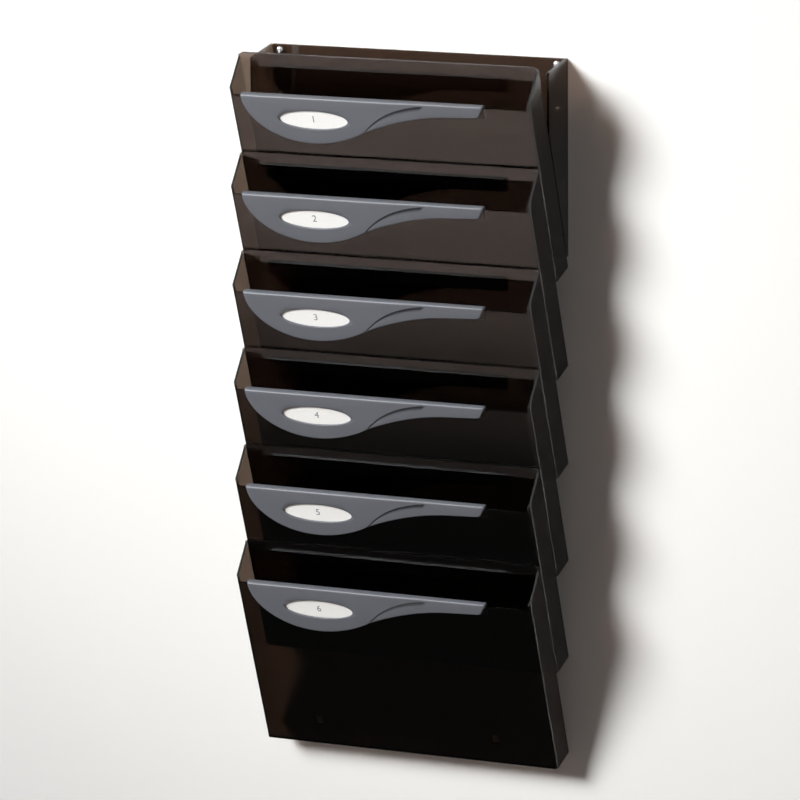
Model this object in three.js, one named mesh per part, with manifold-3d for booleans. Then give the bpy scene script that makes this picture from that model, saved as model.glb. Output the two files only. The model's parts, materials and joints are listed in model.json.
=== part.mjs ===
// Cascade wall file holder: six smoke-tinted pockets hang in steps down a wall, each hooked into the
// front of the one behind it. The first hangs on a wedge-shaped wall pocket, which is screwed to the
// wall and is the seventh place for folders. A swept label holder with an oval window is clipped over
// the front rim of each hanging pocket and traps a paper label card.
// Millimetres, +Z up, the room on the -Y side. The origin lies on the back face of the wall pocket,
// midway between its two upper screws.

import * as THREE from 'three';
import { mergeVertices } from 'three/addons/utils/BufferGeometryUtils.js';
import Module from 'manifold-3d';

const wasm = await Module();
wasm.setup();

// Driving dimensions of the whole cascade
const POCKET_COUNT = 6;
const WIDTH = 330.2;
const LEAN = THREE.MathUtils.degToRad(19.7);
const WALL = 2.4;
const SEAT_GAP = 0.35;
const CLEARANCE = 0.3;
const OVERRUN = 6;
const ARC_STEPS = 4;

// One pocket, measured along and across its own leaning back. The gap below a label is what brings the
// step down the wall to 101.6, which is 4 in.
const BACK_HEIGHT = 227;
const SIDE_DROP = 2.6;
const CORNER_CUT = 4.8;
const MOUTH_DROP = 26;
const RIM_DROP = 6;
const LABEL_GAP = 13.653407;
const CORNER_RADIUS = 3.2;
const CORNER_INNER_RADIUS = 1;
const CORNER_POST = 3.2;
const DRAFT = THREE.MathUtils.degToRad(0.8);

// The two hooks on the back of every pocket, and the slots that take them
const HOOK_INSET = 65;
const HOOK_WIDTH = 8;
const HOOK_NECK = 3.2;
const HOOK_LIP = 1.9;
const HOOK_DROP = 6.5;
const HOOK_RISE = 24;

// The wall pocket
const BACK_RISE = 1;
const WALL_CLEARANCE = 0.5;
const FLANGE_TOP_DROP = 8;
const PANEL_MARGIN = 20;
const FLOOR_RISE = 32;

// The wall screws
const SCREW_EDGE = 11;
const SCREW_DROP = 6.5;
const LOWER_SCREW_DROP = 46;
const SCREW_SHANK = 3.8;
const SCREW_HEAD = 7.6;
const SCREW_HEAD_HEIGHT = 2.4;
const SCREW_LENGTH = 28;
const SCREW_POINT = 5;
const SCREW_RECESS = 1.1;
const SCREW_RECESS_ARM = 1.1;
const SCREW_SIDES = 12;

// The label holder that clips over the rim
const HOLDER_LEFT_INSET = 9.6;
const HOLDER_RIGHT_INSET = 47.2;
const HOLDER_DROP = 50;
const TAIL_THICKNESS = 1.6;
const BODY_THICKNESS = 2.4;
const EDGE_ROUND = 0.5;
const CAP_THICKNESS = 2.2;
const LEG_THICKNESS = 1.8;
const LEG_DROP = 12;
const WINDOW_LENGTH = 76.6;
const WINDOW_HEIGHT = 20.8;
const WINDOW_LEFT = 77.5;
const WINDOW_DROP = 22.4;
const WINDOW_SIDES = 36;
const CURVE_STEPS = 7;

// The paper label card behind the window
const CARD_THICKNESS = 0.5;
const CARD_MARGIN = 2.8;
const CARD_RADIUS = 2;

// Sizes worked out from the driving ones
const halfWidth = WIDTH / 2;
const sinLean = Math.sin(LEAN);
const cosLean = Math.cos(LEAN);
const flare = Math.tan(DRAFT);

// Each pocket hangs lower than the last by its open mouth, its rim, its label and a gap below that
const stepAlong = MOUTH_DROP + RIM_DROP + HOLDER_DROP + LABEL_GAP;
const pitch = stepAlong / cosLean;
const stepAcross = pitch * sinLean;
const overlap = BACK_HEIGHT - stepAlong;
const depthBottom = stepAcross - SEAT_GAP - overlap * flare;
const depthAt = (along) => depthBottom + along * flare;
const tipHeight = BACK_HEIGHT - MOUTH_DROP;
const rimHeight = tipHeight - RIM_DROP;
const rimHalf = halfWidth - CORNER_POST;
const hookHeight = stepAlong + HOOK_RISE;
const hookX = halfWidth - HOOK_INSET;
const liftTravel = HOOK_DROP + CLEARANCE;
const plateTop = SCREW_DROP;
const firstCornerZ = plateTop + BACK_RISE - BACK_HEIGHT * cosLean;

// Turns a closed geometry into a solid for joining and cutting
function solid(geometry) {
  geometry.deleteAttribute('normal');
  geometry.deleteAttribute('uv');
  const merged = mergeVertices(geometry);
  const vertProperties = new Float32Array(merged.attributes.position.array);
  const triVerts = new Uint32Array(merged.index.array);
  return new wasm.Manifold(new wasm.Mesh({ numProp: 3, vertProperties, triVerts }));
}

// Turns a solid back into a named mesh
function namedMesh(name, body, material) {
  const { vertProperties, triVerts, numProp } = body.getMesh();
  const count = vertProperties.length / numProp;
  const positions = new Float32Array(count * 3);
  for (let i = 0; i < count; i++) {
    for (let axis = 0; axis < 3; axis++) {
      positions[i * 3 + axis] = vertProperties[i * numProp + axis];
    }
  }
  const geometry = new THREE.BufferGeometry();
  geometry.setAttribute('position', new THREE.BufferAttribute(positions, 3));
  geometry.setIndex(new THREE.BufferAttribute(new Uint32Array(triVerts), 1));
  geometry.computeVertexNormals();
  const mesh = new THREE.Mesh(geometry, material);
  mesh.name = name;
  return mesh;
}

// A box from its lowest to its highest corner
function block(x0, x1, y0, y1, z0, z1) {
  const geometry = new THREE.BoxGeometry(x1 - x0, y1 - y0, z1 - z0);
  geometry.translate((x0 + x1) / 2, (y0 + y1) / 2, (z0 + z1) / 2);
  return solid(geometry);
}

// A side profile of [y, z] points, drawn out along X
function alongX(points, x0, x1) {
  const shape = new THREE.Shape(points.map(([y, z]) => new THREE.Vector2(y, z)));
  const geometry = new THREE.ExtrudeGeometry(shape, { depth: x1 - x0, bevelEnabled: false });
  const turn = new THREE.Matrix4().makeBasis(
    new THREE.Vector3(0, 1, 0),
    new THREE.Vector3(0, 0, 1),
    new THREE.Vector3(1, 0, 0),
  );
  geometry.applyMatrix4(turn);
  geometry.translate(x0, 0, 0);
  return solid(geometry);
}

// A front outline drawn in X and Z, standing out from y towards the room by the given thickness
function towardsRoom(shape, y, thickness, round) {
  const settings = { depth: thickness - round, bevelEnabled: round > 0, curveSegments: CURVE_STEPS };
  if (round > 0) {
    Object.assign(settings, { bevelThickness: round, bevelSize: round, bevelOffset: -round, bevelSegments: 1 });
  }
  const geometry = new THREE.ExtrudeGeometry(shape, settings);
  geometry.rotateX(Math.PI / 2);
  geometry.translate(0, y, 0);
  const body = solid(geometry);
  if (round === 0) {
    return body;
  }
  const reach = WIDTH + OVERRUN;
  return body.subtract(block(-reach, reach, y, y + thickness, -reach, reach));
}

// One pocket: a thin leaning box with a lower front, sloped sides and a raised back
function planOutline(half, backY, frontY, radius) {
  const shape = new THREE.Shape();
  shape.moveTo(half, backY);
  shape.lineTo(-half, backY);
  shape.lineTo(-half, frontY + radius);
  shape.absarc(-half + radius, frontY + radius, radius, Math.PI, Math.PI * 1.5, false);
  shape.lineTo(half - radius, frontY);
  shape.absarc(half - radius, frontY + radius, radius, Math.PI * 1.5, Math.PI * 2, false);
  shape.closePath();
  return shape;
}

// The front half of a pocket flares outwards as it rises, so that the moulding leaves its tool
function flaredShell(outline, z0, z1) {
  const geometry = new THREE.ExtrudeGeometry(outline, {
    depth: z1 - z0,
    bevelEnabled: false,
    curveSegments: ARC_STEPS,
  });
  geometry.translate(0, 0, z0);
  const points = geometry.attributes.position;
  for (let i = 0; i < points.count; i++) {
    if (points.getY(i) < -depthBottom / 2) {
      points.setY(i, points.getY(i) - points.getZ(i) * flare);
    }
  }
  return solid(geometry);
}

// Each hook is a neck that passes through the slot in front of it and a lip that drops behind the wall
function hookProfile() {
  const slotWallAt = (along) => stepAcross - depthAt(along - stepAlong);
  const lipFront = slotWallAt(hookHeight - HOOK_DROP) + WALL / Math.cos(DRAFT) + CLEARANCE;
  const lipBack = lipFront + HOOK_LIP;
  return [
    [-WALL / 2, hookHeight],
    [lipFront, hookHeight],
    [lipFront, hookHeight - HOOK_DROP],
    [lipBack, hookHeight - HOOK_DROP],
    [lipBack, hookHeight + HOOK_NECK - HOOK_LIP / 2],
    [lipBack - HOOK_LIP / 2, hookHeight + HOOK_NECK],
    [-WALL / 2, hookHeight + HOOK_NECK],
  ];
}

// The slots leave room for the hook to rise until its lip is free
const slotBottom = HOOK_RISE - CLEARANCE;
const slotTop = HOOK_RISE + HOOK_NECK + liftTravel + CLEARANCE;
const slotHalf = HOOK_WIDTH / 2 + CLEARANCE;

function pocketSolid() {
  const tipDepth = depthAt(tipHeight);
  const outer = flaredShell(planOutline(halfWidth, 0, -depthBottom, CORNER_RADIUS), 0, BACK_HEIGHT);
  const inner = flaredShell(
    planOutline(halfWidth - WALL, -WALL, WALL - depthBottom, CORNER_INNER_RADIUS),
    WALL,
    BACK_HEIGHT + OVERRUN,
  );
  const sideTop = BACK_HEIGHT - SIDE_DROP;
  const slope = (sideTop - tipHeight) / tipDepth;
  const farY = -tipDepth - OVERRUN;
  const above = alongX(
    [
      [-WALL, sideTop - slope * WALL],
      [farY, sideTop + slope * farY],
      [farY, BACK_HEIGHT + OVERRUN],
      [-WALL, BACK_HEIGHT + OVERRUN],
    ],
    -halfWidth - OVERRUN,
    halfWidth + OVERRUN,
  );
  const aboveRim = block(-rimHalf, rimHalf, farY, -depthBottom / 2, rimHeight, BACK_HEIGHT + OVERRUN);
  let body = outer.subtract(inner).subtract(above).subtract(aboveRim);
  for (const side of [-1, 1]) {
    const corner = new THREE.Shape();
    const reach = OVERRUN / CORNER_CUT;
    corner.moveTo(side * (halfWidth - CORNER_CUT * (1 + reach)), BACK_HEIGHT + SIDE_DROP * reach);
    corner.lineTo(side * (halfWidth + OVERRUN), BACK_HEIGHT + SIDE_DROP * reach);
    corner.lineTo(side * (halfWidth + OVERRUN), sideTop - SIDE_DROP * reach);
    corner.closePath();
    body = body.subtract(towardsRoom(corner, OVERRUN, WALL + OVERRUN, 0));
    const x0 = side * hookX - HOOK_WIDTH / 2;
    body = body.add(alongX(hookProfile(), x0, x0 + HOOK_WIDTH));
    const slot = block(
      side * hookX - slotHalf,
      side * hookX + slotHalf,
      farY,
      -depthBottom / 2,
      slotBottom,
      slotTop,
    );
    body = body.subtract(slot);
  }
  return body;
}

// The wall pocket: a flat back, two deep flanges, a floor, and a leaning front panel with the slots
// for the first pocket's hooks. The panel stands where the front of a pocket behind would stand.
const panelAcross = stepAcross - depthAt(slotBottom);
const panelTop = stepAlong + slotTop + PANEL_MARGIN;
const leanY = (across, along) => across * cosLean - along * sinLean - WALL_CLEARANCE;
const leanZ = (across, along) => firstCornerZ + across * sinLean + along * cosLean;
const panelDepthAt = (z) => {
  const along = (z - firstCornerZ - panelAcross * sinLean) / cosLean;
  return leanY(panelAcross, along);
};
const plateFoot = (panelAcross * cosLean - WALL_CLEARANCE + WALL) / sinLean;
const plateBottom = leanZ(panelAcross, plateFoot);

function wallPocketSolid() {
  const flangeFront = leanY(panelAcross, panelTop);
  const flange = [
    [0, plateTop],
    [0, plateBottom],
    [-WALL, plateBottom],
    [flangeFront, leanZ(panelAcross, panelTop)],
    [flangeFront, plateTop - FLANGE_TOP_DROP],
  ];
  const floorBottom = firstCornerZ + FLOOR_RISE;
  const panel = [
    [panelDepthAt(floorBottom), floorBottom],
    [flangeFront, leanZ(panelAcross, panelTop)],
    [leanY(panelAcross + WALL, panelTop), leanZ(panelAcross + WALL, panelTop)],
    [panelDepthAt(floorBottom) + WALL / cosLean, floorBottom],
  ];
  const floor = [
    [-WALL / 2, floorBottom],
    [panelDepthAt(floorBottom), floorBottom],
    [panelDepthAt(floorBottom + WALL), floorBottom + WALL],
    [-WALL / 2, floorBottom + WALL],
  ];
  const through = panelAcross + WALL + OVERRUN;
  const slot = [
    [leanY(-OVERRUN, stepAlong + slotBottom), leanZ(-OVERRUN, stepAlong + slotBottom)],
    [leanY(-OVERRUN, stepAlong + slotTop), leanZ(-OVERRUN, stepAlong + slotTop)],
    [leanY(through, stepAlong + slotTop), leanZ(through, stepAlong + slotTop)],
    [leanY(through, stepAlong + slotBottom), leanZ(through, stepAlong + slotBottom)],
  ];
  const innerHalf = halfWidth - WALL;
  const rootHalf = halfWidth - WALL / 2;
  let body = block(-halfWidth, halfWidth, -WALL, 0, plateBottom, plateTop);
  body = body.add(alongX(flange, -halfWidth, -innerHalf));
  body = body.add(alongX(flange, innerHalf, halfWidth));
  body = body.add(alongX(panel, -rootHalf, rootHalf));
  body = body.add(alongX(floor, -rootHalf, rootHalf));
  for (const side of [-1, 1]) {
    body = body.subtract(alongX(slot, side * hookX - slotHalf, side * hookX + slotHalf));
  }
  const holeRadius = SCREW_SHANK / 2 + CLEARANCE;
  for (const [x, z] of screwPlaces) {
    const hole = new THREE.CylinderGeometry(holeRadius, holeRadius, WALL + OVERRUN * 2, SCREW_SIDES);
    hole.translate(x, 0, z);
    body = body.subtract(solid(hole));
  }
  return body;
}

// Four pan-head screws hold the wall pocket: two by its top corners and two under them, just above
// the front panel, where a screwdriver still reaches them
const screwPlaces = [
  [-(halfWidth - SCREW_EDGE), 0],
  [halfWidth - SCREW_EDGE, 0],
  [-(halfWidth - SCREW_EDGE), -LOWER_SCREW_DROP],
  [halfWidth - SCREW_EDGE, -LOWER_SCREW_DROP],
];

function screwSolid() {
  const headRadius = SCREW_HEAD / 2;
  const underHead = WALL + CLEARANCE;
  const crown = underHead + SCREW_HEAD_HEIGHT;
  const profile = [[0, crown]];
  for (let step = 1; step <= ARC_STEPS; step++) {
    const turn = (step / ARC_STEPS) * (Math.PI / 2);
    profile.push([headRadius * Math.sin(turn), underHead + (crown - underHead) * (1 + Math.cos(turn)) / 2]);
  }
  profile.push([headRadius, underHead]);
  profile.push([SCREW_SHANK / 2, underHead]);
  profile.push([SCREW_SHANK / 2, underHead - SCREW_LENGTH + SCREW_POINT]);
  profile.push([0, underHead - SCREW_LENGTH]);
  const points = profile.map(([radius, out]) => new THREE.Vector2(radius, out)).reverse();
  const geometry = new THREE.LatheGeometry(points, SCREW_SIDES);
  geometry.rotateX(Math.PI);
  let body = solid(geometry);
  const arm = SCREW_RECESS_ARM / 2;
  const long = headRadius / 2;
  const floor = -(crown - SCREW_RECESS);
  body = body.subtract(block(-arm, arm, -crown - OVERRUN, floor, -long, long));
  return body.subtract(block(-long, long, -crown - OVERRUN, floor, -arm, arm));
}

// The label holder, drawn from its top left corner: X runs along the rim and Z up from the rim.
// The outline follows shares of the holder's length and of its drop below the rim.
const holderLeft = -rimHalf + HOLDER_LEFT_INSET;
const holderLength = rimHalf * 2 - HOLDER_LEFT_INSET - HOLDER_RIGHT_INSET;
const capTop = CLEARANCE + CAP_THICKNESS;
const alongRim = (share) => holderLeft + holderLength * share;
const belowRim = (share) => -HOLDER_DROP * share;

const bellyShares = [[0, 0], [0, 0.44], [0.103, 1], [0.279, 1]];
const riseShares = [[0.279, 1], [0.353, 1], [0.436, 0.87], [0.492, 0.7]];
const tailShares = [[0.492, 0.7], [0.592, 0.47], [0.712, 0.27], [0.832, 0.24]];
const tailEndShares = [[0.962, 0.208], [0.982, 0.2], [0.988, 0.13]];
const creaseShares = [[0.492, 0.7], [0.53, 0.47], [0.59, 0.1], [0.75, 0]];
const tailRootShare = 0.35;

function curveThrough(shape, shares) {
  const flat = shares.slice(1).flatMap(([x, z]) => [alongRim(x), belowRim(z)]);
  shape.bezierCurveTo(...flat);
}

function bodyOutline() {
  const shape = new THREE.Shape();
  shape.moveTo(alongRim(0), capTop);
  shape.lineTo(alongRim(0), 0);
  curveThrough(shape, bellyShares);
  curveThrough(shape, riseShares);
  curveThrough(shape, creaseShares);
  shape.lineTo(alongRim(creaseShares.at(-1)[0]), capTop);
  shape.closePath();
  return shape;
}

function tailOutline() {
  const shape = new THREE.Shape();
  const [[cornerX, cornerZ], [turnX, turnZ], [endX, endZ]] = tailEndShares;
  shape.moveTo(alongRim(tailRootShare), capTop);
  shape.lineTo(alongRim(tailRootShare), belowRim(tailShares[0][1]));
  shape.lineTo(alongRim(tailShares[0][0]), belowRim(tailShares[0][1]));
  curveThrough(shape, tailShares);
  shape.lineTo(alongRim(cornerX), belowRim(cornerZ));
  shape.quadraticCurveTo(alongRim(turnX), belowRim(turnZ), alongRim(endX), belowRim(endZ));
  shape.quadraticCurveTo(alongRim(endX), 0, alongRim(1), capTop / 2);
  shape.lineTo(alongRim(1), capTop);
  shape.closePath();
  return shape;
}

const windowX = -rimHalf + HOLDER_LEFT_INSET + WINDOW_LEFT;
const windowZ = -WINDOW_DROP;

function windowSolid(grow, y, thickness) {
  const shape = new THREE.Shape();
  const halfLength = WINDOW_LENGTH / 2 + grow;
  const halfHeight = WINDOW_HEIGHT / 2 + grow;
  for (let step = 0; step < WINDOW_SIDES; step++) {
    const turn = (step / WINDOW_SIDES) * Math.PI * 2;
    const x = windowX + halfLength * Math.cos(turn);
    const z = windowZ + halfHeight * Math.sin(turn);
    if (step === 0) {
      shape.moveTo(x, z);
    } else {
      shape.lineTo(x, z);
    }
  }
  shape.closePath();
  return towardsRoom(shape, y, thickness, 0);
}

function cardOutline(gap) {
  const halfLength = WINDOW_LENGTH / 2 + CARD_MARGIN + gap;
  const halfHeight = WINDOW_HEIGHT / 2 + CARD_MARGIN + gap;
  const radius = CARD_RADIUS + gap;
  const shape = new THREE.Shape();
  const corners = [[-1, -1], [1, -1], [1, 1], [-1, 1]];
  for (const [index, [sideX, sideZ]] of corners.entries()) {
    const x = windowX + sideX * (halfLength - radius);
    const z = windowZ + sideZ * (halfHeight - radius);
    const start = Math.PI * (1 + index / 2);
    shape.absarc(x, z, radius, start, start + Math.PI / 2, false);
  }
  shape.closePath();
  return shape;
}

// The card lies in a recess in the back of the holder, against the front of the pocket
const recessDepth = CARD_THICKNESS + CLEARANCE;
const holderBackY = -CLEARANCE;
const legY = WALL + CLEARANCE;

function labelHolderSolid() {
  const body = towardsRoom(bodyOutline(), holderBackY, BODY_THICKNESS, EDGE_ROUND);
  const tail = towardsRoom(tailOutline(), holderBackY, TAIL_THICKNESS, EDGE_ROUND);
  const clip = alongX(
    [
      [holderBackY - TAIL_THICKNESS / 2, CLEARANCE],
      [legY, CLEARANCE],
      [legY, -LEG_DROP],
      [legY + LEG_THICKNESS, -LEG_DROP],
      [legY + LEG_THICKNESS, capTop - EDGE_ROUND],
      [legY + LEG_THICKNESS - EDGE_ROUND, capTop],
      [holderBackY - TAIL_THICKNESS / 2, capTop],
    ],
    alongRim(0),
    alongRim(1),
  );
  const recess = towardsRoom(cardOutline(CLEARANCE), OVERRUN, OVERRUN - holderBackY + recessDepth, 0);
  const opening = windowSolid(0, OVERRUN, OVERRUN - holderBackY + BODY_THICKNESS + OVERRUN);
  const bevel = windowSolid(EDGE_ROUND, holderBackY - BODY_THICKNESS + EDGE_ROUND, EDGE_ROUND + OVERRUN);
  const behind = block(alongRim(0), alongRim(1), holderBackY, legY, -HOLDER_DROP - OVERRUN, CLEARANCE);
  return body.add(tail).subtract(behind).add(clip).subtract(recess).subtract(opening).subtract(bevel);
}

function labelCardSolid() {
  return towardsRoom(cardOutline(0), holderBackY - CLEARANCE / 2, CARD_THICKNESS, 0);
}

// Materials
const smoke = new THREE.MeshStandardMaterial({ color: 0x2a2421, roughness: 0.12, metalness: 0 });
const slate = new THREE.MeshStandardMaterial({ color: 0x63676e, roughness: 0.45, metalness: 0 });
const paper = new THREE.MeshStandardMaterial({ color: 0xf6f5f1, roughness: 0.85, metalness: 0 });
const steel = new THREE.MeshStandardMaterial({ color: 0xb9bcc0, roughness: 0.3, metalness: 1 });

// The assembly
const holder = new THREE.Group();
holder.add(namedMesh('wall_pocket', wallPocketSolid(), smoke));
for (const [index, [x, z]] of screwPlaces.entries()) {
  const screw = namedMesh(`wall_screw_${index + 1}`, screwSolid(), steel);
  screw.position.set(x, 0, z);
  holder.add(screw);
}

for (let index = 0; index < POCKET_COUNT; index++) {
  const number = index + 1;
  const pocket = new THREE.Group();
  pocket.position.set(0, -WALL_CLEARANCE, firstCornerZ - index * pitch);
  pocket.rotation.x = LEAN;
  pocket.add(namedMesh(`pocket_${number}`, pocketSolid(), smoke));
  const label = new THREE.Group();
  label.position.set(0, -depthAt(rimHeight), rimHeight);
  label.rotation.x = DRAFT;
  label.add(namedMesh(`label_holder_${number}`, labelHolderSolid(), slate));
  label.add(namedMesh(`label_card_${number}`, labelCardSolid(), paper));
  pocket.add(label);
  holder.add(pocket);
}

export default holder;
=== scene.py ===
"""Looks of a cascade wall file holder: smoke polystyrene pockets that hang in steps down a pale wall,
each with a satin blue-grey label holder clipped over its rim. Metres, +Z up, the room on the -Y side.
"""
import json
import math

import bmesh
import bpy
from mathutils import Matrix, Vector


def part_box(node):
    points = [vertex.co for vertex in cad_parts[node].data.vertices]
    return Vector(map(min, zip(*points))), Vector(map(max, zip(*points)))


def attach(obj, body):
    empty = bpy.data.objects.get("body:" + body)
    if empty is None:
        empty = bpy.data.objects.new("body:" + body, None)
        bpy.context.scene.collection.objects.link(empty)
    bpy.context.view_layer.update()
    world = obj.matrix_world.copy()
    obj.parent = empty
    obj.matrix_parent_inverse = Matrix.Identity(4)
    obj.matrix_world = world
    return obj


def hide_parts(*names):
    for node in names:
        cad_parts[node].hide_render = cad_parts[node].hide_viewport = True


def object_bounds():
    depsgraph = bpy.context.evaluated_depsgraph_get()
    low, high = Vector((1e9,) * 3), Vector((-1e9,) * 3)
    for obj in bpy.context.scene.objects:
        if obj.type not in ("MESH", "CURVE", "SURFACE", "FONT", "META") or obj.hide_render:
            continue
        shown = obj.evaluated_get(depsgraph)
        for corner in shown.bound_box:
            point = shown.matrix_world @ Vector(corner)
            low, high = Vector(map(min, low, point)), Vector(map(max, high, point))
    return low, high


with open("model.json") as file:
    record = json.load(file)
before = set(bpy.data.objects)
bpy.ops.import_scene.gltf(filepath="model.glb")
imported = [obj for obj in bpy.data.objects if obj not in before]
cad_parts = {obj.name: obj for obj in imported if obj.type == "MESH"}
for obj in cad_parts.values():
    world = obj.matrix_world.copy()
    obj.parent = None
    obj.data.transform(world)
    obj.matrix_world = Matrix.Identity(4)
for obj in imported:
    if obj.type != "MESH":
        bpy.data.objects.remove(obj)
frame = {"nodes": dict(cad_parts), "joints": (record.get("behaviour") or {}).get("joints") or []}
cad_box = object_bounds()
MM = 0.001

# Camera
# A long lens stands off to the right of the holder and looks down on it a little, as in the photograph.
LENS_MM = 232.8
CAMERA_AT = Vector((2.1332, -4.7704, 0.7103))
CAMERA_TURN_DEG = (78.466, 0.461, 24.229)
SIGHT_REACH = 40
camera = bpy.data.objects.new("camera", bpy.data.cameras.new("camera"))
bpy.context.scene.collection.objects.link(camera)
camera.data.lens = LENS_MM
camera.data.clip_end = SIGHT_REACH
camera.location = CAMERA_AT
camera.rotation_euler = [math.radians(angle) for angle in CAMERA_TURN_DEG]
bpy.context.scene.camera = camera
bpy.context.scene.view_settings.view_transform = "Standard"


# Room
# A matt white painted wall behind the holder and a pale floor far below it, both of which run out into an
# even white backdrop. The wall is drawn only from the room's side, so the back of the holder can be seen.
WALL_WHITE = "f2f2f0"
FLOOR_WHITE = "cfcdca"
BACKDROP_WHITE = "f2f2f2"
BACKDROP_STRENGTH = 1.0
FLOOR_DROP = 3.0
WALL_FADE = (0.55, 1.15)
FLOOR_FADE = (3.6, 5.5)
ROOM_HALF = 6.0
ROOM_FRONT = 12.0
WALL_AT = 0.0004


def linear(hex_colour):
    """An sRGB hex colour as the linear RGBA that shader sockets take."""
    channels = [int(hex_colour[i:i + 2], 16) / 255 for i in (0, 2, 4)]
    curve = [c / 12.92 if c <= 0.04045 else ((c + 0.055) / 1.055) ** 2.4 for c in channels]
    return (*curve, 1.0)


def add_node(tree, kind, settings=None, **inputs):
    """Adds a shader node, sets its properties, and fills or links its inputs by name."""
    node = tree.nodes.new(kind)
    for name, value in (settings or {}).items():
        setattr(node, name, value)
    for name, value in inputs.items():
        key = int(name[1:]) if name[0] == "_" else name.replace("_", " ")
        if isinstance(value, bpy.types.NodeSocket):
            tree.links.new(value, node.inputs[key])
        else:
            node.inputs[key].default_value = value
    return node


def new_material(name):
    """An empty node material and its tree."""
    material = bpy.data.materials.new(name)
    material.use_nodes = True
    material.node_tree.nodes.clear()
    return material, material.node_tree


def finish_material(tree, surface, volume=None):
    """Links the last shaders to the material's output."""
    output = tree.nodes.new("ShaderNodeOutputMaterial")
    tree.links.new(surface, output.inputs["Surface"])
    if volume:
        tree.links.new(volume, output.inputs["Volume"])


def stage_plane(name, corners, material):
    """A flat stage piece from its four corners, facing the side from which they run anticlockwise."""
    mesh = bpy.data.meshes.new(name)
    mesh.from_pydata(corners, [], [(0, 1, 2, 3)])
    plane = bpy.data.objects.new(name, mesh)
    bpy.context.scene.collection.objects.link(plane)
    mesh.materials.append(material)


def rays_of_sight(tree):
    """One for rays that see the room straight, in a gloss or through clear plastic, else nothing."""
    light_path = add_node(tree, "ShaderNodeLightPath")
    seen = add_node(tree, "ShaderNodeMath", {"operation": "ADD"},
                    _0=light_path.outputs["Is Camera Ray"], _1=light_path.outputs["Is Glossy Ray"])
    seen = add_node(tree, "ShaderNodeMath", {"operation": "ADD", "use_clamp": True},
                    _0=seen.outputs[0], _1=light_path.outputs["Is Transmission Ray"])
    return seen.outputs[0]


def mixed(tree, share, first, second):
    """Two shaders mixed by a share of the second."""
    mix = add_node(tree, "ShaderNodeMixShader", Fac=share)
    tree.links.new(first, mix.inputs[1])
    tree.links.new(second, mix.inputs[2])
    return mix.outputs[0]


def studio_paint(tree, colour, centre, radii):
    """Matt paint that fades, from one radius to the next, to the even white of the backdrop."""
    place = add_node(tree, "ShaderNodeTexCoord")
    away = add_node(tree, "ShaderNodeVectorMath", {"operation": "DISTANCE"},
                    _0=place.outputs["Object"], _1=centre)
    far = add_node(tree, "ShaderNodeMapRange", {"interpolation_type": "SMOOTHSTEP"},
                   Value=away.outputs["Value"], From_Min=radii[0], From_Max=radii[1])
    beyond = add_node(tree, "ShaderNodeMath", {"operation": "MULTIPLY"},
                      _0=rays_of_sight(tree), _1=far.outputs["Result"])
    paint = add_node(tree, "ShaderNodeBsdfDiffuse", Color=linear(colour))
    backdrop = add_node(tree, "ShaderNodeEmission", Color=linear(BACKDROP_WHITE), Strength=BACKDROP_STRENGTH)
    return mixed(tree, beyond.outputs[0], paint.outputs[0], backdrop.outputs[0])


# Rolled matt paint gives the wall and the floor an even tone without a gloss.
wall_paint, tree = new_material("matt_wall_paint")
geometry = add_node(tree, "ShaderNodeNewGeometry")
front = add_node(tree, "ShaderNodeMath", {"operation": "SUBTRACT", "use_clamp": True},
                 _0=rays_of_sight(tree), _1=geometry.outputs["Backfacing"])
clear = add_node(tree, "ShaderNodeBsdfTransparent")
painted = studio_paint(tree, WALL_WHITE, (0, 0, (cad_box[0].z + cad_box[1].z) / 2), WALL_FADE)
finish_material(tree, mixed(tree, front.outputs[0], clear.outputs[0], painted))
stage_plane("room_wall", [(-ROOM_HALF, WALL_AT, -FLOOR_DROP), (ROOM_HALF, WALL_AT, -FLOOR_DROP),
                          (ROOM_HALF, WALL_AT, ROOM_HALF), (-ROOM_HALF, WALL_AT, ROOM_HALF)], wall_paint)

floor_paint, tree = new_material("matt_floor_paint")
finish_material(tree, studio_paint(tree, FLOOR_WHITE, (0, 0, -FLOOR_DROP), FLOOR_FADE))
stage_plane("room_floor", [(-ROOM_HALF, -ROOM_FRONT, -FLOOR_DROP), (ROOM_HALF, -ROOM_FRONT, -FLOOR_DROP),
                           (ROOM_HALF, ROOM_HALF, -FLOOR_DROP), (-ROOM_HALF, ROOM_HALF, -FLOOR_DROP)],
            floor_paint)


# Studio light
# A softbox high on the left gives the form and a soft shadow at the lower right. One hangs low over the
# floor, whose bright pool the glossy leaning fronts mirror, and a third stands behind the wall.
WORLD_STRENGTH = 0.05
KEY_AT = (-2.3, -2.95, 1.6)
KEY_AIM = (0.02, 0, 0.3)
KEY_SIZE = (1.7, 1.7)
KEY_WATTS = 24
KEY_SPREAD_DEG = 44
POOL_AT = (0, -2.95, -2.2)
POOL_SIZE = (5.0, 1.5)
POOL_WATTS = 38
POOL_SPREAD_DEG = 51
POOL_COLOUR = "ffe7de"
REAR_AT = (0.5, 2.4, 0)
REAR_SIZE = (1.6, 1.6)
REAR_WATTS = 12
REAR_SPREAD_DEG = 50
world = bpy.data.worlds.new("studio")
world.use_nodes = True
bpy.context.scene.world = world
tree = world.node_tree
strength = add_node(tree, "ShaderNodeMapRange", Value=rays_of_sight(tree),
                    To_Min=WORLD_STRENGTH, To_Max=BACKDROP_STRENGTH)
backdrop = tree.nodes["Background"]
backdrop.inputs["Color"].default_value = linear(BACKDROP_WHITE)
tree.links.new(strength.outputs[0], backdrop.inputs["Strength"])


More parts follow.
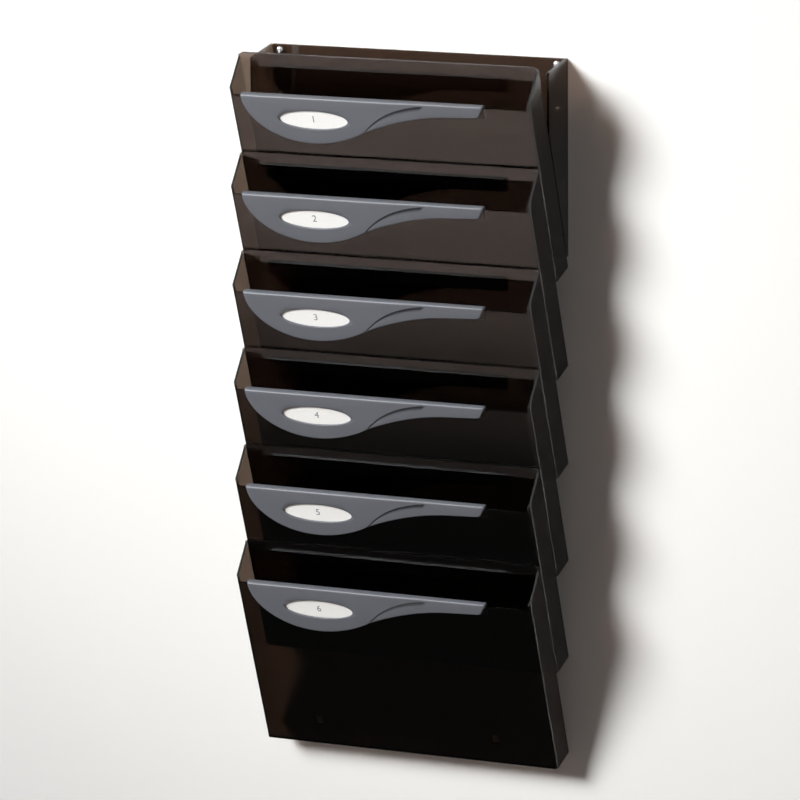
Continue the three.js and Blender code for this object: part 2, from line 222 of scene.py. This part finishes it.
def softbox(name, place, aim, size, watts, spread_deg):
    """A rectangular area lamp that faces a point, with a grid that narrows its spread."""
    lamp = bpy.data.objects.new(name, bpy.data.lights.new(name, "AREA"))
    bpy.context.scene.collection.objects.link(lamp)
    lamp.data.energy = watts
    lamp.data.shape = "RECTANGLE"
    lamp.data.size, lamp.data.size_y = size
    lamp.data.spread = math.radians(spread_deg)
    lamp.location = place
    lamp.rotation_euler = (Vector(aim) - Vector(place)).to_track_quat("-Z", "Y").to_euler()
    return lamp


MIDDLE = (cad_box[0] + cad_box[1]) / 2
softbox("key_softbox", KEY_AT, MIDDLE + Vector(KEY_AIM), KEY_SIZE, KEY_WATTS, KEY_SPREAD_DEG)
pool_aim = (POOL_AT[0], POOL_AT[1], -FLOOR_DROP)
pool = softbox("floor_softbox", POOL_AT, pool_aim, POOL_SIZE, POOL_WATTS, POOL_SPREAD_DEG)
pool.data.color = linear(POOL_COLOUR)[:3]
softbox("rear_softbox", REAR_AT, MIDDLE, REAR_SIZE, REAR_WATTS, REAR_SPREAD_DEG)


# Wall pocket
# The flanged back of the holder, moulded in clear polystyrene tinted grey-brown: black where walls lie
# behind each other, brown where one stands before the bright wall, and mirror-like from its polished tool.
POLYSTYRENE_IOR = 1.59
WALL_MM = 2.4
PASSED_BY_WALL = "74655a"
SMOKE_DENSITY = 1100.0
HANDLING_MARK_MM = 45.5
FLOW_WAVE_MM = 71.4
FLOW_DEPTH_MM = 0.6
EDGE_ROUND_MM = 0.4
EDGE_SEGMENTS = 2
FLATS_WEIGHT = 100
SAME_PLACE_MM = 0.001
FLAT_DEG = 0.5
SHARP_DEG = 35

# A polished tool leaves a clear gloss, which slow waves of the melt's flow and faint marks of handling
# only just disturb. The tint is the colour of white light that has passed one wall.
smoke, tree = new_material("smoke_polystyrene_moulded")
place = add_node(tree, "ShaderNodeTexCoord")
handling = add_node(tree, "ShaderNodeTexNoise", Vector=place.outputs["Object"],
                    Scale=1 / (HANDLING_MARK_MM * MM), Detail=5.0, Roughness=0.6)
gloss = add_node(tree, "ShaderNodeMapRange", Value=handling.outputs["Fac"], From_Min=0.35, From_Max=0.75,
                 To_Min=0.015, To_Max=0.05)
flow = add_node(tree, "ShaderNodeTexNoise", Vector=place.outputs["Object"],
                Scale=1 / (FLOW_WAVE_MM * MM), Detail=1.0)
waves = add_node(tree, "ShaderNodeBump", Height=flow.outputs["Fac"], Strength=0.04,
                 Distance=FLOW_DEPTH_MM * MM)
glass = add_node(tree, "ShaderNodeBsdfPrincipled", Base_Color=linear("ffffff"), Roughness=gloss.outputs[0],
                 IOR=POLYSTYRENE_IOR, Transmission_Weight=1.0, Normal=waves.outputs[0])
open_to_lamps = add_node(tree, "ShaderNodeBsdfTransparent")
light_path = add_node(tree, "ShaderNodeLightPath")
surface = mixed(tree, light_path.outputs["Is Shadow Ray"], glass.outputs[0], open_to_lamps.outputs[0])
loss = [-math.log(share) / (WALL_MM * MM) for share in linear(PASSED_BY_WALL)[:3]]
tint = (*[1 - rate / SMOKE_DENSITY for rate in loss], 1)
absorbed = add_node(tree, "ShaderNodeVolumeAbsorption", Color=tint, Density=SMOKE_DENSITY)
finish_material(tree, surface, absorbed.outputs[0])


def new_piece(name, mesh, material, body, slot, *nodes):
    """A piece of the holder in its finish, riding on its body in place of its CAD nodes."""
    piece = bpy.data.objects.new(name, mesh)
    bpy.context.scene.collection.objects.link(piece)
    mesh.materials.clear()
    mesh.materials.append(material)
    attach(piece, body)
    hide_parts(*nodes)
    return piece


def round_edges(piece):
    """Breaks the sharp edges of a moulding as its tool does, and keeps its flats flat to the light."""
    bevel = piece.modifiers.new("broken_edges", "BEVEL")
    bevel.width = EDGE_ROUND_MM * MM
    bevel.segments = EDGE_SEGMENTS
    bevel.limit_method = "ANGLE"
    bevel.angle_limit = math.radians(SHARP_DEG)
    bevel.miter_outer = "MITER_ARC"
    shading = piece.modifiers.new("flats_first", "WEIGHTED_NORMAL")
    shading.keep_sharp = False
    shading.weight = FLATS_WEIGHT


def moulding(name, node, body):
    """The moulded shell of a node with whole flat faces, smooth corner rounds and broken edges."""
    shell = bmesh.new()
    shell.from_mesh(frame["nodes"][node].data)
    bmesh.ops.remove_doubles(shell, verts=shell.verts, dist=SAME_PLACE_MM * MM)
    bmesh.ops.dissolve_limit(shell, angle_limit=math.radians(FLAT_DEG), verts=shell.verts, edges=shell.edges)
    for face in shell.faces:
        face.smooth = True
    mesh = bpy.data.meshes.new(name)
    shell.to_mesh(mesh)
    shell.free()
    piece = new_piece(name, mesh, smoke, body, "smoke_plastic", node)
    round_edges(piece)


moulding("wall_pocket_moulding", "wall_pocket", "wall_mount")


# Wall screws
# Pan-head screws of zinc-plated steel, cold-headed with a cross recess and driven through the back of
# the wall pocket.
HEAD_ACROSS_MM = 7.6
HEAD_HEIGHT_MM = 2.4
HEAD_BEVEL_MM = 0.2
CROWN_SHARE = 0.65
CROWN_STEP_DEG = 10
SHANK_ACROSS_MM = 3.8
POINT_MM = 5
RECESS_DEPTH_MM = 1.4
RECESS_ARM_MM = 1.0
RECESS_ACROSS_MM = 4.2
RECESS_FLOOR_SHARE = 0.8
RECESS_MOUTH_SHARE = 1.3
OVERRUN_MM = 1
TURNED_SEGMENTS = 48
PLATING_BLOOM_MM = 1.11

# Plating is bright but slightly uneven, so a head catches the light as one small hot spot.
steel, tree = new_material("zinc_plated_steel")
place = add_node(tree, "ShaderNodeTexCoord")
bloom = add_node(tree, "ShaderNodeTexNoise", Vector=place.outputs["Object"],
                 Scale=1 / (PLATING_BLOOM_MM * MM), Detail=3.0)
polish = add_node(tree, "ShaderNodeMapRange", Value=bloom.outputs["Fac"], To_Min=0.18, To_Max=0.36)
zinc = add_node(tree, "ShaderNodeBsdfPrincipled", Base_Color=linear("c9ccd0"),
                Roughness=polish.outputs[0], Metallic=1.0)
finish_material(tree, zinc.outputs[0])


def skin(rings, closed_ends=True):
    """A closed skin over rings of points that all run the same way round and hold as many points."""
    form = bmesh.new()
    rows = [[form.verts.new(point) for point in ring] for ring in rings]
    count = len(rows[0])
    for near, far in zip(rows, rows[1:]):
        for i in range(count):
            j = (i + 1) % count
            form.faces.new((near[i], near[j], far[j], far[i]))
    if closed_ends:
        form.faces.new(rows[0][::-1])
        form.faces.new(rows[-1])
    bmesh.ops.remove_doubles(form, verts=form.verts, dist=SAME_PLACE_MM * MM)
    bmesh.ops.dissolve_degenerate(form, edges=form.edges, dist=SAME_PLACE_MM * MM)
    bmesh.ops.recalc_face_normals(form, faces=form.faces)
    for face in form.faces:
        face.smooth = True
    mesh = bpy.data.meshes.new("skin")
    form.to_mesh(mesh)
    form.free()
    return mesh


def cut_out(mesh, *cutters):
    """The mesh with the cutters' spaces taken out of it."""
    body = bpy.data.objects.new("uncut", mesh)
    bpy.context.scene.collection.objects.link(body)
    tools = []
    for cutter in cutters:
        tool = bpy.data.objects.new("cutter", cutter)
        bpy.context.scene.collection.objects.link(tool)
        cut = body.modifiers.new("cut", "BOOLEAN")
        cut.operation = "DIFFERENCE"
        cut.solver = "EXACT"
        cut.object = tool
        tools.append(tool)
    bpy.context.view_layer.update()
    result = bpy.data.meshes.new_from_object(body.evaluated_get(bpy.context.evaluated_depsgraph_get()))
    for spare in (body, *tools):
        bpy.data.objects.remove(spare)
    return result


def turned(profile):
    """A form turned about the Y axis from (radius, y) pairs in millimetres that start and end on the axis."""
    rings = []
    for radius, y in profile:
        angles = [step / TURNED_SEGMENTS * math.tau for step in range(TURNED_SEGMENTS)]
        rings.append([Vector((radius * math.cos(a), y, radius * math.sin(a))) * MM for a in angles])
    return skin(rings, closed_ends=False)


def recess_arm(across, high):
    """One tapered arm of the cross recess, from inside the head to in front of it."""
    rings = []
    for y, grow in ((-RECESS_DEPTH_MM, RECESS_FLOOR_SHARE), (OVERRUN_MM, RECESS_MOUTH_SHARE)):
        half_x, half_z = across / 2 * grow, high / 2 * grow
        corners = ((-half_x, -half_z), (half_x, -half_z), (half_x, half_z), (-half_x, half_z))
        rings.append([Vector((x, -y, z)) * MM for x, z in corners])
    return skin(rings)


SCREW_COUNT = sum(name.startswith("wall_screw_") for name in frame["nodes"])
for number in range(1, SCREW_COUNT + 1):
    low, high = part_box(f"wall_screw_{number}")
    length = (high.y - low.y) / MM
    head, shank = HEAD_ACROSS_MM / 2, SHANK_ACROSS_MM / 2
    turns = [math.radians(turn) for turn in range(0, 91, CROWN_STEP_DEG)]
    crown = [(head * math.sin(turn), HEAD_HEIGHT_MM * CROWN_SHARE * (1 - math.cos(turn))) for turn in turns]
    profile = [*crown, (head, HEAD_HEIGHT_MM - HEAD_BEVEL_MM), (head - HEAD_BEVEL_MM, HEAD_HEIGHT_MM),
               (shank, HEAD_HEIGHT_MM), (shank, length - POINT_MM), (0, length)]
    screw = cut_out(turned(profile), recess_arm(RECESS_ACROSS_MM, RECESS_ARM_MM),
                    recess_arm(RECESS_ARM_MM, RECESS_ACROSS_MM))
    screw.transform(Matrix.Translation(((low.x + high.x) / 2, low.y, (low.z + high.z) / 2)))
    new_piece(f"wall_screw_{number}_steel", screw, steel, "wall_mount", "zinc_steel", f"wall_screw_{number}")


# Hanging pockets
# Six alike, from the same smoke polystyrene: raised back, sloped sides, lower front. Each hooks into two
# slots in the front of the one behind it.
POCKET_COUNT = sum(name.startswith("pocket_") for name in frame["nodes"])
for number in range(1, POCKET_COUNT + 1):
    moulding(f"pocket_{number}_moulding", f"pocket_{number}", f"pocket_{number}_body")


# Label holders
# One moulding each in satin blue-grey ABS: a crowned leaf with an oval window sweeps over a thinner tail,
# and both hang from a rounded cap whose hidden leg clips behind the rim of the pocket.
SEAT_GAP_MM = 0.3
LEAF_MM = 2.4
TAIL_MM = 1.6
CAP_MM = 2.5
CAP_ROUND_MM = 2.0
CAP_DEPTH_SHARE = 0.9
CAP_TURN_DEG = 15
RIM_MM = 2.4
LEG_MM = 1.8
LEG_DROP_MM = 12
LEG_ROUND_MM = 0.4
LEG_CORNER_SHARE = 0.3
RIM_CLEAR_MM = 0.3
OUTLINE_ROUND_MM = 0.8
THIN_EDGE_MM = 0.3
LEAST_DROP_MM = 0.2
LEAF_FALL_MM = 0.5
LEAF_REACH_MM = 6
TAIL_FALL_MM = 0.35
TAIL_REACH_MM = 4
GROOVE_MM = 0.5
GROOVE_DEPTH_MM = 0.45
WINDOW_MM = (76.6, 20.8)
WINDOW_ROUND_MM = 0.6
WINDOW_RIM_MM = ((0, WINDOW_ROUND_MM), (0.12, 0.32), (0.3, 0.12), (WINDOW_ROUND_MM, 0))
WINDOW_SEGMENTS = 96
CARD_MM = 0.5
CARD_MARGIN_MM = 2.8
CARD_RADIUS_MM = 2
CARD_TURN_DEG = 18
BELLY_STEPS = 18
RISE_STEPS = 9
TAIL_STEPS = 16
TIP_STEPS = 4
CREASE_STEPS = 24
TAIL_ROWS = 10
LEAF_ROWS = 20
belly_shares = ((0, 0), (0, 0.44), (0.103, 1), (0.279, 1))
rise_shares = ((0.279, 1), (0.353, 1), (0.436, 0.87), (0.492, 0.7))
tail_shares = ((0.492, 0.7), (0.592, 0.47), (0.712, 0.27), (0.832, 0.24))
tip_shares = ((0.96, 0.208), (0.979, 0.206), (0.9845, 0.125))
end_shares = ((0.9885, 0.08), (0.993, 0.04), (1, 0.006))
crease_shares = ((0.492, 0.7), (0.53, 0.47), (0.59, 0.1), (0.75, 0))
crease_fade_shares = (0.6, 0.75)
GRAIN_MM = 0.91
GRAIN_DEPTH_MM = 0.03
CLOUD_MM = 25

# The tool's etched grain spreads the highlights to a satin sheen. It is drawn a few times coarser than
# the real one, so that it shows, and the tone clouds a little over it.
slate, tree = new_material("slate_abs_satin_moulded")
place = add_node(tree, "ShaderNodeTexCoord")
grain = add_node(tree, "ShaderNodeTexNoise", Vector=place.outputs["Object"],
                 Scale=1 / (GRAIN_MM * MM), Detail=2.0)
etched = add_node(tree, "ShaderNodeBump", Height=grain.outputs["Fac"], Strength=0.35,
                  Distance=GRAIN_DEPTH_MM * MM)
cloud = add_node(tree, "ShaderNodeTexNoise", Vector=place.outputs["Object"],
                 Scale=1 / (CLOUD_MM * MM), Detail=3.0)
shade = add_node(tree, "ShaderNodeMix", {"data_type": "RGBA"}, _0=cloud.outputs["Fac"],
                 _6=linear("5f636a"), _7=linear("676a70"))
satin = add_node(tree, "ShaderNodeMapRange", Value=cloud.outputs["Fac"], To_Min=0.38, To_Max=0.5)
plastic = add_node(tree, "ShaderNodeBsdfPrincipled", Base_Color=shade.outputs[2], Roughness=satin.outputs[0],
                   IOR=1.54, Normal=etched.outputs[0])
finish_material(tree, plastic.outputs[0])


def bezier(shares, steps):
    """Points along a cubic or quadratic curve through its control points, both ends included."""
    points = []
    for step in range(steps + 1):
        row = [Vector(share) for share in shares]
        while len(row) > 1:
            row = [a.lerp(b, step / steps) for a, b in zip(row, row[1:])]
        points.append(row[0])
    return points


def seat_of(number):
    """A label holder's place on its rim, with X along it, Y through it and Z up, and its length and drop."""
    lift = next(joint for joint in frame["joints"] if joint["name"] == f"label_holder_{number}_lift")
    up = Vector(lift["axis"]).normalized()
    along = Vector((1, 0, 0))
    into = up.cross(along)
    turn = Matrix((along, into, up))
    points = [turn @ vertex.co for vertex in frame["nodes"][f"label_holder_{number}"].data.vertices]
    low = Vector([min(point[axis] for point in points) for axis in range(3)])
    high = Vector([max(point[axis] for point in points) for axis in range(3)])
    origin = Vector((low.x, low.y + (SEAT_GAP_MM + LEAF_MM) * MM, high.z - CAP_MM * MM))
    seat = turn.transposed().to_4x4()
    seat.translation = turn.transposed() @ origin
    return seat, (high.x - low.x) / MM, (origin.z - low.z) / MM


seat, HOLDER_MM, DROP_MM = seat_of(1)


def scaled(points):
    """Points given as shares of the holder, in millimetres along its rim and up from it."""
    return [Vector((point.x * HOLDER_MM, -point.y * DROP_MM)) for point in points]


lower_edge = scaled(bezier(belly_shares, BELLY_STEPS))
lower_edge += scaled(bezier(rise_shares, RISE_STEPS)[1:])
lower_edge += scaled(bezier(tail_shares, TAIL_STEPS)[1:])
lower_edge += scaled(bezier(tip_shares, TIP_STEPS))
lower_edge += scaled([Vector(share) for share in end_shares])
crease = scaled(bezier(crease_shares, CREASE_STEPS))
outline = [Vector((0, CAP_MM)), *lower_edge, Vector((HOLDER_MM, CAP_MM))]
cap_start = CAP_MM - CAP_ROUND_MM


def from_outline(point):
    """How far a point of the face lies inside the nearest side or lower edge, in millimetres."""
    nearest = CAP_MM + HOLDER_MM
    for a, b in zip(outline, outline[1:]):
        side = b - a
        share = max(0.0, min(1.0, (point - a).dot(side) / side.length_squared))
        nearest = min(nearest, (point - a - side * share).length)
    return nearest


def thickness(point, full, fall, reach):
    """How far the face stands out at a point: crowned, and rounded off along its edge."""
    inside = from_outline(point)
    crowned = full - fall * math.exp(-inside / reach)
    if inside < OUTLINE_ROUND_MM:
        crowned *= math.sqrt(1 - (1 - inside / OUTLINE_ROUND_MM) ** 2)
    return max(THIN_EDGE_MM, crowned)


def crease_height(x, bottom):
    """Where the leaf's edge crosses a station: at the lower edge before the crease, at the cap after it."""
    if x <= crease[0].x:
        return bottom
    for a, b in zip(crease, crease[1:]):
        if a.x <= x <= b.x:
            return min(a.y + (b.y - a.y) * (x - a.x) / (b.x - a.x), cap_start)
    return cap_start


def rising(low, high, count, crowd=4.5):
    """Heights from low to high that crowd towards the low end."""
    return [low + (high - low) * (math.exp(crowd * i / count) - 1) / (math.exp(crowd) - 1)
            for i in range(count + 1)]


def holder_section(x, bottom):
    """The closed section of a label holder at one station, as (y, z) pairs from its lower edge round."""
    split = crease_height(x, bottom)
    fade_from, fade_to = (share * HOLDER_MM for share in crease_fade_shares)
    fade = max(0.0, min(1.0, (x - fade_from) / (fade_to - fade_from)))
    section = []
    for z in rising(bottom, split, TAIL_ROWS):
        out = thickness(Vector((x, z)), TAIL_MM, TAIL_FALL_MM, TAIL_REACH_MM)
        near = 1 - min(1.0, (split - z) / GROOVE_MM)
        grooved = max(THIN_EDGE_MM, out - GROOVE_DEPTH_MM * near * (1 - fade))
        section.append((-grooved, z))
    for z in rising(split, cap_start, LEAF_ROWS):
        tail = thickness(Vector((x, z)), TAIL_MM, TAIL_FALL_MM, TAIL_REACH_MM)
        leaf = thickness(Vector((x, z)), LEAF_MM, LEAF_FALL_MM, LEAF_REACH_MM)
        out = leaf + (tail - leaf) * fade
        section.append((-out, z))
    front = section[-1][0]
    round_mm = min(CAP_ROUND_MM, -front * CAP_DEPTH_SHARE)
    for turn in range(CAP_TURN_DEG, 91, CAP_TURN_DEG):
        angle = math.radians(turn)
        section.append((front + round_mm * (1 - math.cos(angle)), cap_start + CAP_ROUND_MM * math.sin(angle)))
    leg_front = SEAT_GAP_MM + RIM_MM + RIM_CLEAR_MM
    leg_back = leg_front + LEG_MM
    corner = LEG_ROUND_MM * LEG_CORNER_SHARE
    section += [(leg_back - LEG_ROUND_MM, CAP_MM), (leg_back - corner, CAP_MM - corner),
                (leg_back, CAP_MM - LEG_ROUND_MM), (leg_back, LEG_ROUND_MM - LEG_DROP_MM),
                (leg_back - LEG_ROUND_MM, -LEG_DROP_MM), (leg_front + LEG_ROUND_MM, -LEG_DROP_MM),
                (leg_front, LEG_ROUND_MM - LEG_DROP_MM), (leg_front, RIM_CLEAR_MM),
                (0, RIM_CLEAR_MM), (0, bottom)]
    return [Vector((x, y - SEAT_GAP_MM, z)) * MM for y, z in section]


def window_cutter(centre):
    """An oval that cuts the window and rounds its front rim over."""
    face = -SEAT_GAP_MM - LEAF_MM
    cuts = [(face - OVERRUN_MM, WINDOW_ROUND_MM + OVERRUN_MM)]
    cuts += [(face + depth, grow) for depth, grow in WINDOW_RIM_MM]
    cuts.append((OVERRUN_MM, 0))
    rings = []
    for y, grow in cuts:
        ring = []
        for step in range(WINDOW_SEGMENTS):
            turn = step / WINDOW_SEGMENTS * math.tau
            x = centre.x + (WINDOW_MM[0] / 2 + grow) * math.cos(turn)
            z = centre.y + (WINDOW_MM[1] / 2 + grow) * math.sin(turn)
            ring.append(Vector((x, y, z)) * MM)
        rings.append(ring)
    return skin(rings)


def card_cutter(centre):
    """The round-cornered recess behind the window, which the card lies in."""
    half_x = WINDOW_MM[0] / 2 + CARD_MARGIN_MM + SEAT_GAP_MM - CARD_RADIUS_MM
    half_z = WINDOW_MM[1] / 2 + CARD_MARGIN_MM + SEAT_GAP_MM - CARD_RADIUS_MM
    corners = ((half_x, half_z, 0), (-half_x, half_z, 90), (-half_x, -half_z, 180), (half_x, -half_z, 270))
    rings = []
    for y in (-SEAT_GAP_MM * 2 - CARD_MM, OVERRUN_MM):
        ring = []
        for x, z, start in corners:
            for turn in range(start, start + 91, CARD_TURN_DEG):
                angle = math.radians(turn)
                ring.append(Vector((centre.x + x + CARD_RADIUS_MM * math.cos(angle), y,
                                    centre.y + z + CARD_RADIUS_MM * math.sin(angle))) * MM)
        rings.append(ring)
    return skin(rings)


def card_centre(number, seat):
    """The middle of a label card in its holder's own frame, in millimetres along and up the rim."""
    low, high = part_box(f"label_card_{number}")
    middle = seat.inverted() @ ((low + high) / 2)
    return Vector((middle.x, middle.z)) / MM


stations = [(point.x, min(point.y, -LEAST_DROP_MM)) for point in lower_edge]
centre = card_centre(1, seat)
holder_skin = skin([holder_section(x, bottom) for x, bottom in stations])
holder_mesh = cut_out(holder_skin, window_cutter(centre), card_cutter(centre))
for number in range(1, POCKET_COUNT + 1):
    seat, _, _ = seat_of(number)
    mesh = holder_mesh.copy()
    mesh.transform(seat)
    new_piece(f"label_holder_{number}_moulding", mesh, slate, f"label_{number}_body", "slate_plastic",
              f"label_holder_{number}")


# Label cards
# A slip of uncoated white card, cut with round corners, lies loose in each holder behind the oval window
# and has a plain number printed on it.
NUMBER_MM = 10.5
INK_MM = 0.03
CARD_FRONT_MM = SEAT_GAP_MM * 1.5 + CARD_MM
FIBRE_MM = 1.43
FIBRE_DEPTH_MM = 0.03
INK_MOTTLE_MM = 0.667

# Pressed fibres without a coating give a dull white with a faint mottle, drawn coarser than real fibres
# so that it shows.
card, tree = new_material("uncoated_paper_card")
place = add_node(tree, "ShaderNodeTexCoord")
fibres = add_node(tree, "ShaderNodeTexNoise", Vector=place.outputs["Object"],
                  Scale=1 / (FIBRE_MM * MM), Detail=4.0)
tone = add_node(tree, "ShaderNodeMix", {"data_type": "RGBA"}, _0=fibres.outputs["Fac"],
                _6=linear("f2f1ed"), _7=linear("fbfbf9"))
felt = add_node(tree, "ShaderNodeBump", Height=fibres.outputs["Fac"], Strength=0.2,
                Distance=FIBRE_DEPTH_MM * MM)
paper = add_node(tree, "ShaderNodeBsdfPrincipled", Base_Color=tone.outputs[2], Roughness=0.85,
                 Normal=felt.outputs[0])
finish_material(tree, paper.outputs[0])

# Ink printed on rough card stays matt and a little patchy.
ink, tree = new_material("grey_printing_ink")
place = add_node(tree, "ShaderNodeTexCoord")
patches = add_node(tree, "ShaderNodeTexNoise", Vector=place.outputs["Object"],
                   Scale=1 / (INK_MOTTLE_MM * MM), Detail=2.0)
tone = add_node(tree, "ShaderNodeMix", {"data_type": "RGBA"}, _0=patches.outputs["Fac"],
                _6=linear("6b6d72"), _7=linear("8a8c90"))
printed = add_node(tree, "ShaderNodeBsdfPrincipled", Base_Color=tone.outputs[2], Roughness=0.7)
finish_material(tree, printed.outputs[0])

for number in range(1, POCKET_COUNT + 1):
    node = frame["nodes"][f"label_card_{number}"]
    node.data.materials.clear()
    node.data.materials.append(card)
    seat, _, _ = seat_of(number)
    centre = card_centre(number, seat)
    lettering = bpy.data.curves.new(f"label_number_{number}", "FONT")
    lettering.body = str(number)
    lettering.size = NUMBER_MM * MM
    lettering.align_x, lettering.align_y = "CENTER", "CENTER"
    lettering.extrude = INK_MM * MM
    figure = bpy.data.objects.new(f"label_number_{number}", lettering)
    bpy.context.scene.collection.objects.link(figure)
    lettering.materials.append(ink)
    face = Matrix.Translation(Vector((centre.x, -CARD_FRONT_MM, centre.y)) * MM)
    figure.matrix_world = seat @ face @ Matrix.Rotation(math.pi / 2, 4, "X")
    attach(figure, f"label_{number}_body")
